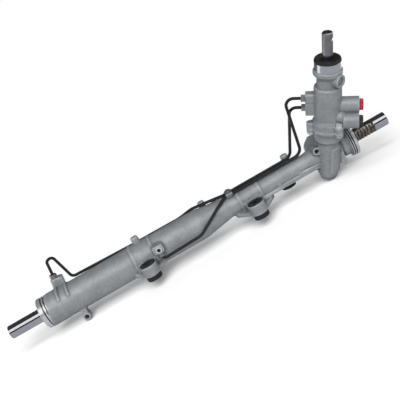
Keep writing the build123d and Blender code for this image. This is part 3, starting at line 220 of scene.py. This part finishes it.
def finish_of(name, colour, shade, metallic, roughness, grain, depth, patch=0.04, speck=0.004, uneven=0.05,
              swing=0.08):
    """A finish whose colour wanders to the shade in patches, with fine speckles and a grain of this depth."""
    noise_low, noise_high = 0.3, 0.7
    patch_edge = 0.65
    patch_detail, speck_detail, grain_detail = 6.0, 4.0, 3.0
    made = bpy.data.materials.new(name)
    made.use_nodes = True
    tree = made.node_tree
    surface = tree.nodes["Principled BSDF"]
    surface.inputs["Metallic"].default_value = metallic
    place = tree.nodes.new("ShaderNodeTexCoord")
    place.name = "place"
    patches = noise(tree, patch, patch_detail)
    patches.inputs["Roughness"].default_value = patch_edge
    colours = tree.nodes.new("ShaderNodeValToRGB")
    first, last = colours.color_ramp.elements
    first.position = noise_low
    first.color = shade + (1.0,)
    last.position = noise_high
    last.color = colour + (1.0,)
    tree.links.new(patches.outputs["Fac"], colours.inputs["Fac"])
    speckle = noise(tree, speck, speck_detail)
    speckle.name = "speckle"
    share = ranged(tree, speckle.outputs["Fac"], 1.0 - uneven, 1.0 + uneven, noise_low, noise_high)
    dappled = lit_by(tree, colours.outputs["Color"], share, "dappled")
    tree.links.new(dappled, surface.inputs["Base Color"])
    fine = noise(tree, grain, grain_detail)
    rough = ranged(tree, fine.outputs["Fac"], roughness - swing, roughness + swing)
    tree.links.new(rough, surface.inputs["Roughness"])
    bump = tree.nodes.new("ShaderNodeBump")
    bump.name = "bump"
    bump.inputs["Strength"].default_value = 1.0
    bump.inputs["Distance"].default_value = depth
    tree.links.new(fine.outputs["Fac"], bump.inputs["Height"])
    tree.links.new(bump.outputs["Normal"], surface.inputs["Normal"])
    return made


def pick(piece, test):
    """Selects the piece's points that pass the test and leaves it in edit mode."""
    bpy.ops.object.select_all(action="DESELECT")
    piece.select_set(True)
    bpy.context.view_layer.objects.active = piece
    bpy.ops.object.mode_set(mode="EDIT")
    bpy.ops.mesh.select_mode(type="VERT")
    bpy.ops.mesh.select_all(action="DESELECT")
    bpy.ops.object.mode_set(mode="OBJECT")
    for spot in piece.data.vertices:
        spot.select = test(spot.co)
    bpy.ops.object.mode_set(mode="EDIT")


def pull(piece, test, way):
    """Moves the piece's points that pass the test."""
    pick(piece, test)
    bpy.ops.transform.translate(value=way)
    bpy.ops.object.mode_set(mode="OBJECT")


def draw_in(piece, test, share, station):
    """Draws the piece's points that pass the test towards the rack's axis."""
    pick(piece, test)
    bpy.ops.transform.resize(value=(1.0, share, share), center_override=(station, 0.0, 0.0))
    bpy.ops.object.mode_set(mode="OBJECT")


def block(middle, size, turn=(0.0, 0.0, 0.0)):
    """A plain block of alloy, to be shaped and cast in."""
    bpy.ops.object.select_all(action="DESELECT")
    bpy.ops.mesh.primitive_cube_add(size=1.0, location=middle, rotation=turn)
    made = bpy.context.object
    made.scale = size
    bpy.ops.object.transform_apply(location=True, rotation=True, scale=True)
    return made


def merged_copy(name, piece_name, seam):
    """A selected copy of a CAD node with its loose triangles joined, in edit mode."""
    piece = bpy.data.objects.new(piece_name, node[name].data.copy())
    bpy.context.collection.objects.link(piece)
    bpy.ops.object.select_all(action="DESELECT")
    piece.select_set(True)
    bpy.context.view_layer.objects.active = piece
    bpy.ops.object.mode_set(mode="EDIT")
    bpy.ops.mesh.select_all(action="SELECT")
    bpy.ops.mesh.remove_doubles(threshold=seam)
    return piece


def cast_again(name, piece_name, grid, rounds, added):
    """A copy of a casting with what is added to it, rebuilt on a grid and softened, so that its edges are
    cast ones."""
    seam = 0.00001
    piece = merged_copy(name, piece_name, seam)
    bpy.ops.object.mode_set(mode="OBJECT")
    for extra in added:
        extra.select_set(True)
    bpy.ops.object.join()
    mould = piece.modifiers.new("mould", "REMESH")
    mould.mode = "VOXEL"
    mould.voxel_size = grid
    bpy.ops.object.modifier_apply(modifier="mould")
    soften = piece.modifiers.new("soften", "SMOOTH")
    soften.factor = 0.5
    soften.iterations = rounds
    bpy.ops.object.modifier_apply(modifier="soften")
    bpy.ops.object.shade_smooth()
    return piece


def from_axis(spot):
    """How far a point is from the rack's axis."""
    return math.hypot(spot.y, spot.z)


# The casting's colour is darker in its hollows, as painted shade, and lighter on its edges, as painted
# highlight.
hollow, edge = 0.455, 0.535
painted_hollow_shade, painted_edge_light = 0.55, 1.35
cast_alloy = finish_of("cast_alloy", (0.285, 0.299, 0.309), (0.202, 0.214, 0.223), metallic=0.45,
                       roughness=0.42, grain=0.0009, depth=0.0002, patch=0.03, speck=0.003, uneven=0.10)
tree = cast_alloy.node_tree
relief = tree.nodes.new("ShaderNodeNewGeometry")
# How sharply the skin bends sets the painted shade in the hollows and the painted highlight on the edges.
share = ranged(tree, relief.outputs["Pointiness"], painted_hollow_shade, painted_edge_light, hollow, edge)
painted_relief_shading = lit_by(tree, tree.nodes["dappled"].outputs["Vector"], share, "painted_relief_shading")
tree.links.new(painted_relief_shading, tree.nodes["Principled BSDF"].inputs["Base Color"])

# A low ledge runs along the front of the tube. It sinks towards its left end, and its right end keeps clear
# of the bar's bore.
ledge_middle = Vector((0.5185, -0.0150, -0.0115))
ledge_size = (0.129, 0.0094, 0.0100)
ledge_half = 0.500
ledge_slope = 0.0016
ledge_sink = 0.0055
bore_room = 0.0035
ledge = block(ledge_middle, ledge_size)
pull(ledge, lambda c: c.z < ledge_middle.z, (0.0, ledge_slope, 0.0))
pull(ledge, lambda c: c.x < ledge_half and c.z > ledge_middle.z, (0.0, 0.0, -ledge_sink))
pull(ledge, lambda c: c.x > ledge_half and c.y > ledge_middle.y and c.z > ledge_middle.z,
     (0.0, -bore_room, 0.0))

# A saddle fills the gap under the rear pipe, from the cone to the pipe clamp, and rises to the back with it.
saddle_middle = (0.3675, 0.0035, 0.0180)
saddle_size = (0.065, 0.0070, 0.0070)
saddle_half = 0.360
saddle_rise = (0.0, 0.0065, 0.0038)
saddle = block(saddle_middle, saddle_size)
pull(saddle, lambda c: c.x < saddle_half, saddle_rise)

housing_grid = 0.00183
housing_rounds = 2
housing = cast_again("rack_housing", "cast_housing", housing_grid, housing_rounds, (ledge, saddle))

# The two ridges beside the rear mount fade out over the front and top of the tube.
ridge_stations = (0.4945, 0.5355)
ridge_half_width = 0.0034
ridge_foot, ridge_crest = 0.0187, 0.0212
ridge_back, ridge_bottom = 0.006, -0.004
ridge_share = 0.94
blend_rounds = 12
for station in ridge_stations:
    pick(housing, lambda c: abs(c.x - station) < ridge_half_width and c.y < ridge_back and c.z > ridge_bottom
         and ridge_foot < from_axis(c) < ridge_crest)
    bpy.ops.transform.resize(value=(1.0, ridge_share, ridge_share), center_override=(station, 0.0, 0.0))
    bpy.ops.mesh.select_more()
    bpy.ops.mesh.vertices_smooth(factor=0.5, repeat=blend_rounds)
    bpy.ops.object.mode_set(mode="OBJECT")

# Narrow slots are sunk in the tube's front above the ledge, each as start, end and its height at both. The
# skin is made finer there first, and the slots stop short of the bore.
slot_front, slot_back = -0.026, -0.012
slot_half_width = 0.0009
slot_floor = 0.87
wall_inside = 0.0165
slots = ((0.5125, 0.5330, -0.0078, -0.0078), (0.5400, 0.5650, -0.0030, -0.0055),
         (0.5660, 0.5820, -0.0055, -0.0078))
fine_start, fine_end = 0.508, 0.586
fine_bottom, fine_top = -0.013, 0.001
pick(housing, lambda c: fine_start < c.x < fine_end and fine_bottom < c.z < fine_top
     and slot_front < c.y < slot_back)
bpy.ops.mesh.subdivide(number_cuts=1)
bpy.ops.object.mode_set(mode="OBJECT")
for start, end, start_height, end_height in slots:
    fall = (end_height - start_height) / (end - start)
    draw_in(housing, lambda c: start < c.x < end and slot_front < c.y < slot_back
            and from_axis(c) > wall_inside
            and abs(c.z - start_height - fall * (c.x - start)) < slot_half_width, slot_floor, start)

# Both ends are turned down under the boot seats, the left one along a leaning edge. Each has its station,
# its lean, the way to the end face, and the radius from which it is turned.
hair = 0.00002
turned_down = 0.92
for station, lean, way, radius in ((0.008, 0.21, -1, 0.0262), (0.6425, 0.0, 1, 0.0268)):
    bpy.ops.object.mode_set(mode="EDIT")
    bpy.ops.mesh.select_all(action="SELECT")
    bpy.ops.mesh.bisect(plane_co=(station, 0.0, 0.0), plane_no=(1.0, 0.0, -lean))
    bpy.ops.object.mode_set(mode="OBJECT")
    draw_in(housing, lambda c: (c.x - station - lean * c.z) * way > hair and from_axis(c) > radius,
            turned_down, station)
housing.data.materials.clear()
housing.data.materials.append(cast_alloy)
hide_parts("rack_housing")
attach(housing, "housing")


# Boot seats: the two bright rings at the housing's ends, turned in the lathe with two grooves each, on which
# the rubber boots are clipped.

def turn_about_x(name, outline, steps=96):
    """A piece turned about the rack's axis from a closed outline of stations and radii."""
    seam = 0.000001
    crease = math.radians(24)
    bpy.ops.object.select_all(action="DESELECT")
    bpy.ops.mesh.primitive_circle_add(vertices=len(outline), radius=0.01)
    piece = bpy.context.object
    piece.name = name
    for spot, (station, radius) in zip(piece.data.vertices, outline):
        spot.co = (station, 0.0, radius)
    bpy.ops.object.mode_set(mode="EDIT")
    bpy.ops.mesh.select_all(action="SELECT")
    bpy.ops.mesh.spin(steps=steps, angle=2 * math.pi, center=(0.0, 0.0, 0.0), axis=(1.0, 0.0, 0.0))
    bpy.ops.mesh.select_all(action="SELECT")
    bpy.ops.mesh.remove_doubles(threshold=seam)
    bpy.ops.mesh.delete_loose()
    bpy.ops.mesh.select_all(action="SELECT")
    bpy.ops.mesh.normals_make_consistent(inside=False)
    bpy.ops.object.mode_set(mode="OBJECT")
    bpy.ops.object.shade_smooth_by_angle(angle=crease)
    return piece


def turned_finish(name, colour, shade, roughness, metallic):
    """Lathe-turned metal, with fine rings square to the rack's axis on a surface that swells a little."""
    ring_width = 0.0004
    ring_detail = 2.0
    drawn_out = 0.02
    made = finish_of(name, colour, shade, metallic, roughness, grain=0.0006, depth=0.00002)
    tree = made.node_tree
    stretch = tree.nodes.new("ShaderNodeMapping")
    stretch.inputs["Scale"].default_value = (1.0, drawn_out, drawn_out)
    tree.links.new(tree.nodes["place"].outputs["Object"], stretch.inputs["Vector"])
    rings = noise(tree, ring_width, ring_detail)
    tree.links.new(stretch.outputs["Vector"], rings.inputs["Vector"])
    both = tree.nodes.new("ShaderNodeMath")
    both.operation = "ADD"
    tree.links.new(tree.nodes["speckle"].outputs["Fac"], both.inputs[0])
    tree.links.new(rings.outputs["Fac"], both.inputs[1])
    tree.links.new(both.outputs[0], tree.nodes["bump"].inputs["Height"])
    return made


def seat_outline(start, end, radius, inside, grooves):
    """A ring with its corners broken and rounded floors in its grooves."""
    corner = 0.0008
    steps_down = ((0.0012, 0.0), (0.0010, 0.0014), (0.0006, 0.0019))
    top = [(start, inside), (start, radius - corner), (start + corner, radius)]
    for middle in grooves:
        top += [(middle - half, radius - depth) for half, depth in steps_down]
        top += [(middle + half, radius - depth) for half, depth in reversed(steps_down)]
    return top + [(end - corner, radius), (end, radius - corner), (end, inside)]


bright_turned = turned_finish("bright_turned", (0.84, 0.85, 0.87), (0.60, 0.61, 0.64), 0.24, metallic=0.78)
# The groove floors take a darker copy of the bright turned finish, as painted shade where the grooves are
# deep.
painted_groove_shade = turned_finish("painted_groove_shade", (0.16, 0.165, 0.17), (0.10, 0.105, 0.11), 0.45, metallic=1.0)
groove_floor, groove_lip = 0.0020, 0.0009
square_on = 0.99
boot_seats = (("left_boot_seat", -0.007, 0.0165, 0.0300, 0.0246, (0.0028, 0.0085)),
              ("right_boot_seat", 0.643, 0.656, 0.0322, 0.0222, (0.6454, 0.6494)))
for name, start, end, radius, inside, grooves in boot_seats:
    seat = turn_about_x(name, seat_outline(start, end, radius, inside, grooves))
    seat.data.materials.append(bright_turned)
    seat.data.materials.append(painted_groove_shade)
    # Faces deep in a groove wear the painted shade.
    for face in seat.data.polygons:
        deep = radius - groove_floor < from_axis(face.center) < radius - groove_lip
        if deep and abs(face.normal.x) < square_on:
            face.material_index = 1
    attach(seat, "housing")

# Port insert: a bright steel ring, turned and pressed into the front of the middle port block, with a blind
# hole where the cross drilling of the port is closed. The hole's walls and floor are painted near black, as
# painted shade.
insert_place = Vector((0.2425, -0.045, 0.0085))
insert_hole = 0.0036
insert_steps = 48
insert_outline = ((-0.0030, 0.0), (-0.0030, 0.0060), (0.0018, 0.0060), (0.0024, 0.0055),
                  (0.0024, insert_hole), (0.0006, 0.0034), (0.0006, 0.0))
facing_front = Matrix.Rotation(-math.pi / 2, 4, "Z")
port_insert = turn_about_x("port_insert", insert_outline, insert_steps)
port_insert.data.transform(Matrix.Translation(insert_place) @ facing_front)
insert_steel = finish_of("insert_steel", (0.56, 0.56, 0.575), (0.44, 0.44, 0.455), metallic=0.30,
                         roughness=0.3, grain=0.0006, depth=0.00004)
painted_hole_shade = finish_of("painted_hole_shade", (0.016, 0.016, 0.017), (0.010, 0.010, 0.011), metallic=0.0,
                        roughness=0.7, grain=0.0006, depth=0.00004)
painted_hole_shade.node_tree.nodes["Principled BSDF"].inputs["Specular IOR Level"].default_value = 0.1
port_insert.data.materials.append(insert_steel)
port_insert.data.materials.append(painted_hole_shade)
# Faces inside the hole wear the painted shade.
for face in port_insert.data.polygons:
    if math.hypot(face.center.x - insert_place.x, face.center.z - insert_place.z) < insert_hole:
        face.material_index = 1
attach(port_insert, "housing")

# Valve housing: the smaller casting on top of the tower, of the same grey alloy and cast again like the
# other, with its port bosses. The tower leans, so its places are given along it, to its side and to its back.
tower_foot = Vector((0.598, -0.01532, -0.00686))
tower_axis = Vector((0.30071, -0.38943, 0.87059))
tower_side = Vector((0.95372, 0.12279, -0.27449))
tower_back = tower_axis.cross(tower_side)
hose_turn = math.radians(-26.7)
hose_way = tower_side * math.cos(hose_turn) + tower_back * math.sin(hose_turn)
hose_across = tower_back * math.cos(hose_turn) - tower_side * math.sin(hose_turn)
hose_frame = Matrix((hose_way, hose_across, tower_axis)).transposed()


def on_tower(height, reach, offset):
    """A place on the tower by its height, its reach towards the hoses and its offset across them."""
    return tower_foot + tower_axis * height + hose_way * reach + hose_across * offset


# A short neck leads to the return boss, and the front wall of the pipe block is a little thicker than in the
# solid, so that the upper port stays closed.
neck_start = on_tower(0.0945, 0.010, -0.006)
neck_end = on_tower(0.0925, 0.029, -0.0175)
neck_way = neck_end - neck_start
neck_root, neck_tip = 0.0125, 0.0090
bpy.ops.object.select_all(action="DESELECT")
bpy.ops.mesh.primitive_cone_add(vertices=48, radius1=neck_root, radius2=neck_tip, depth=neck_way.length,
                                location=(neck_start + neck_end) / 2,
                                rotation=neck_way.to_track_quat("Z", "Y").to_euler())
boss_neck = bpy.context.object
bpy.ops.object.transform_apply(location=True, rotation=True, scale=True)
wall_middle = on_tower(0.1265, -0.0315, -0.0077)
wall_size = (0.0150, 0.0016, 0.0130)
block_wall = block(wall_middle, wall_size, hose_frame.to_euler())
valve_grid = 0.0009
valve_rounds = 4
valve_case = cast_again("valve_housing", "cast_valve_housing", valve_grid, valve_rounds,
                        (boss_neck, block_wall))
valve_case.data.materials.clear()
valve_case.data.materials.append(cast_alloy)
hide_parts("valve_housing")
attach(valve_case, "housing")


# Turned alloy pieces: the retainers and caps that close the housing, the piston and the yoke, all of
# aluminium, turned bright and screwed or pressed into their bores.

def wear(material, *names):
    """The CAD nodes of these names wear the material."""
    for name in names:
        node[name].data.materials.clear()
        node[name].data.materials.append(material)


turned_alloy = finish_of("turned_alloy", (0.80, 0.80, 0.83), (0.72, 0.72, 0.75), metallic=1.0, roughness=0.22,
                         grain=0.0004, depth=0.00003)
wear(turned_alloy, "seal_retainer", "left_end_cap", "bush_retainer", "piston", "seal_spacer", "yoke",
     "yoke_plug")

# Rack bar: a steel bar, ground and chromed like a mirror, with teeth cut at the pinion end. Its plain ends
# are turned here, each with a blind hole for a tie rod, and the toothed middle is the solid's own.
chrome = finish_of("chrome", (0.74, 0.74, 0.78), (0.70, 0.70, 0.75), metallic=1.0, roughness=0.04,
                   grain=0.002, depth=0.000004, swing=0.02)
left_tip, right_tip = -0.078, 0.729
middle_start, middle_end = 0.480, 0.7005
bar_radius = 0.0130
bar_steps = 128
bar_seam = 0.000005
bar_crease = math.radians(30)
hole_radius = 0.0072
hole_point = 0.0042
tip_corner = ((0.0, 0.0118), (0.0003, 0.0124), (0.0010, 0.0129), (0.0016, bar_radius))
plain_ends = []
for tip, joint, hole_depth in ((left_tip, middle_start, 0.0240), (right_tip, middle_end, 0.0220)):
    way = 1 if joint > tip else -1
    outline = [(tip + way * hole_depth, 0.0), (tip + way * (hole_depth - hole_point), hole_radius),
               (tip, hole_radius)]
    outline += [(tip + way * back, radius) for back, radius in tip_corner]
    outline += [(joint, bar_radius), (joint, 0.0)]
    plain_ends.append(turn_about_x("plain_end", outline, bar_steps))
bar = merged_copy("rack_bar", "chromed_bar", bar_seam)
bpy.ops.mesh.bisect(plane_co=(middle_start, 0.0, 0.0), plane_no=(1.0, 0.0, 0.0), use_fill=True,
                    clear_inner=True)
bpy.ops.mesh.select_all(action="SELECT")
bpy.ops.mesh.bisect(plane_co=(middle_end, 0.0, 0.0), plane_no=(1.0, 0.0, 0.0), use_fill=True,
                    clear_outer=True)
bpy.ops.object.mode_set(mode="OBJECT")
bpy.ops.object.shade_smooth_by_angle(angle=bar_crease)
for end in plain_ends:
    end.select_set(True)
bpy.ops.object.join()

# Brown grease lies between the teeth and dulls the chrome there.
grease_start = 0.510
grease_edge, grease_end = 0.7015, 0.7025
grease_lump = 1 / 260
grease_detail = 4.0
grease_roughness = 0.30
tree = chrome.node_tree
surface = tree.nodes["Principled BSDF"]
along = tree.nodes.new("ShaderNodeSeparateXYZ")
tree.links.new(tree.nodes["place"].outputs["Object"], along.inputs["Vector"])
before_end = ranged(tree, along.outputs["X"], 0.0, 1.0, grease_end, grease_edge)
after = tree.nodes.new("ShaderNodeMath")
after.operation = "GREATER_THAN"
after.inputs[1].default_value = grease_start
tree.links.new(along.outputs["X"], after.inputs[0])
greasy = tree.nodes.new("ShaderNodeMath")
greasy.operation = "MULTIPLY"
tree.links.new(before_end, greasy.inputs[0])
tree.links.new(after.outputs[0], greasy.inputs[1])
lumps = noise(tree, grease_lump, grease_detail)
grease = tree.nodes.new("ShaderNodeValToRGB")
thick, thin = grease.color_ramp.elements
thick.position = 0.38
thick.color = (0.20, 0.17, 0.13, 1.0)
thin.position = 0.62
thin.color = (0.74, 0.71, 0.64, 1.0)
tree.links.new(lumps.outputs["Fac"], grease.inputs["Fac"])
coloured = tree.nodes.new("ShaderNodeMix")
coloured.data_type = "RGBA"
tree.links.new(greasy.outputs[0], coloured.inputs["Factor"])
tree.links.new(tree.nodes["dappled"].outputs["Vector"], coloured.inputs["A"])
tree.links.new(grease.outputs["Color"], coloured.inputs["B"])
dulled = tree.nodes.new("ShaderNodeMix")
tree.links.new(greasy.outputs[0], dulled.inputs["Factor"])
tree.links.new(surface.inputs["Roughness"].links[0].from_socket, dulled.inputs["A"])
dulled.inputs["B"].default_value = grease_roughness
tree.links.new(coloured.outputs["Result"], surface.inputs["Base Color"])
tree.links.new(dulled.outputs["Result"], surface.inputs["Roughness"])
bar.data.materials.clear()
bar.data.materials.append(chrome)
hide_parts("rack_bar")
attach(bar, "rack")

# Input shaft: a hardened steel shaft, bare and a little dull, with splines for the steering column's joint
# and a notch for its pinch bolt. It runs in the needle bearing on top of the tower.
spline_steel = finish_of("spline_steel", (0.56, 0.56, 0.57), (0.36, 0.36, 0.365), metallic=1.0,
                         roughness=0.20, grain=0.0006, depth=0.00006)
wear(spline_steel, "input_shaft")

# Ground steel pieces: the pinion, torsion bar and valve sleeve, their bearings, and the sleeves in the rubber
# mounts. They are hardened, ground to size and pressed or pinned in place.
ground_steel = finish_of("ground_steel", (0.50, 0.49, 0.48), (0.38, 0.37, 0.36), metallic=1.0, roughness=0.3,
                         grain=0.0006, depth=0.00004)
wear(ground_steel, "pinion_shaft", "torsion_bar", "valve_sleeve", "bearing_inner_race", "bearing_outer_race",
     "bearing_balls", "input_bearing", "left_mount_sleeve", "middle_mount_sleeve", "rear_mount_sleeve")

# Plated steel pieces: the nuts of the two pipes, the lock nuts, the bottom cap and the pipe clamp with its
# screw, zinc plated and a little dull.
plated_steel = finish_of("plated_steel", (0.42, 0.43, 0.43), (0.30, 0.31, 0.32), metallic=0.9, roughness=0.36,
                         grain=0.0007, depth=0.00005)
wear(plated_steel, "clamp_screw", "upper_tube_nut", "lower_tube_nut", "left_tube_nut", "middle_tube_nut",
     "yoke_locknut", "pinion_nut", "bottom_cap", "pipe_clamp")

# Flange bolts: three steel socket bolts with bright plating, which hold the valve housing on the foot of
# the tower.
bolt_plate = finish_of("bolt_plate", (0.66, 0.66, 0.67), (0.48, 0.48, 0.50), metallic=0.5, roughness=0.3,
                       grain=0.0006, depth=0.00004)
wear(bolt_plate, "flange_bolts")

# Spring steel pieces: the snap ring, the wire ring of the end cap, the circlips on the bar and the spring
# behind the yoke, of oiled dark wire and strip that snaps into its grooves.
spring_steel = finish_of("spring_steel", (0.16, 0.16, 0.17), (0.10, 0.10, 0.11), metallic=1.0, roughness=0.35,
                         grain=0.0006, depth=0.00004)
wear(spring_steel, "snap_ring", "end_cap_wire", "piston_circlips", "yoke_spring")

# Pipes: two thin steel tubes, bent cold and coated glossy black, which bring the fluid from the valve housing
# to both ends of the cylinder.
pipe_coat = finish_of("black_pipe_coat", (0.012, 0.012, 0.013), (0.006, 0.006, 0.007), metallic=0.0,
                      roughness=0.28, grain=0.001, depth=0.00003)
wear(pipe_coat, "front_pipe", "rear_pipe")

# Rubber pieces: the cap that keeps dust off the input shaft, the bushes pressed into the three eyes, and the
# seals and O-ring, all moulded of matt black rubber.
black_rubber = finish_of("black_rubber", (0.014, 0.014, 0.015), (0.008, 0.008, 0.009), metallic=0.0,
                         roughness=0.6, grain=0.0008, depth=0.0001)
wear(black_rubber, "dust_cap", "left_mount_rubber", "middle_mount_rubber", "rear_mount_rubber",
     "left_rack_seal", "inner_rack_seal", "input_seal", "end_cap_o_ring")

# Slide bushes and rings: brown plastic that runs without grease, in which the bar, the pinion, the yoke, the
# piston and the valve sleeve slide.
bush_plastic = finish_of("bush_plastic", (0.10, 0.085, 0.05), (0.07, 0.06, 0.035), metallic=0.0,
                         roughness=0.5, grain=0.001, depth=0.00005)
wear(bush_plastic, "rack_bush", "upper_bush", "yoke_liner", "piston_ring", "valve_rings")


# Transport plugs: a red and a black cap of soft plastic, pressed into the two hose ports and ribbed all round
# so that fingers can pull them out.

def ribbed_plug(name, height, reach, offset):
    """A moulded cap on a port of the tower: a rim with ribs, a hollow middle and a spigot in the port."""
    ribs = 15
    rim = 0.0095
    between_ribs = 0.87
    seam = 0.000001
    crease = math.radians(18)
    outline = ((-0.009, 0.0), (-0.009, 0.0079), (0.0002, 0.0079), (0.0002, 0.0104), (0.0066, 0.0100),
               (0.0070, 0.0064), (0.0018, 0.0062), (0.0018, 0.0))
    bpy.ops.object.select_all(action="DESELECT")
    bpy.ops.mesh.primitive_circle_add(vertices=len(outline), radius=0.01)
    piece = bpy.context.object
    piece.name = name
    for spot, (station, radius) in zip(piece.data.vertices, outline):
        spot.co = (radius, 0.0, station)
    bpy.ops.object.mode_set(mode="EDIT")
    bpy.ops.mesh.select_all(action="SELECT")
    bpy.ops.mesh.spin(steps=2 * ribs, angle=2 * math.pi, center=(0.0, 0.0, 0.0), axis=(0.0, 0.0, 1.0))
    bpy.ops.mesh.select_all(action="SELECT")
    bpy.ops.mesh.remove_doubles(threshold=seam)
    bpy.ops.mesh.delete_loose()
    bpy.ops.object.mode_set(mode="OBJECT")
    pick(piece, lambda c: math.hypot(c.x, c.y) > rim
         and round(math.atan2(c.y, c.x) * ribs / math.pi) % 2 == 1)
    bpy.ops.transform.resize(value=(between_ribs, between_ribs, 1.0), center_override=(0.0, 0.0, 0.0))
    bpy.ops.mesh.select_all(action="SELECT")
    bpy.ops.mesh.normals_make_consistent(inside=False)
    bpy.ops.object.mode_set(mode="OBJECT")
    bpy.ops.object.shade_smooth_by_angle(angle=crease)
    in_port = Matrix((hose_across, tower_axis, hose_way)).transposed().to_4x4()
    piece.data.transform(Matrix.Translation(on_tower(height, reach, offset)) @ in_port)
    piece.data.update()
    return piece


red_plastic = finish_of("red_plug", (0.36, 0.014, 0.028), (0.25, 0.008, 0.018), metallic=0.0, roughness=0.42,
                        grain=0.001, depth=0.00006)
black_plastic = finish_of("black_plug", (0.022, 0.022, 0.024), (0.012, 0.012, 0.013), metallic=0.0,
                          roughness=0.45, grain=0.001, depth=0.00006)
red_cap = ribbed_plug("red_supply_plug", 0.110, 0.0540, 0.0)
red_cap.data.materials.append(red_plastic)
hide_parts("supply_plug")
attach(red_cap, "housing")
black_cap = ribbed_plug("black_return_plug", 0.088, 0.0535, -0.019)
black_cap.data.materials.append(black_plastic)
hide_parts("return_plug")
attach(black_cap, "housing")
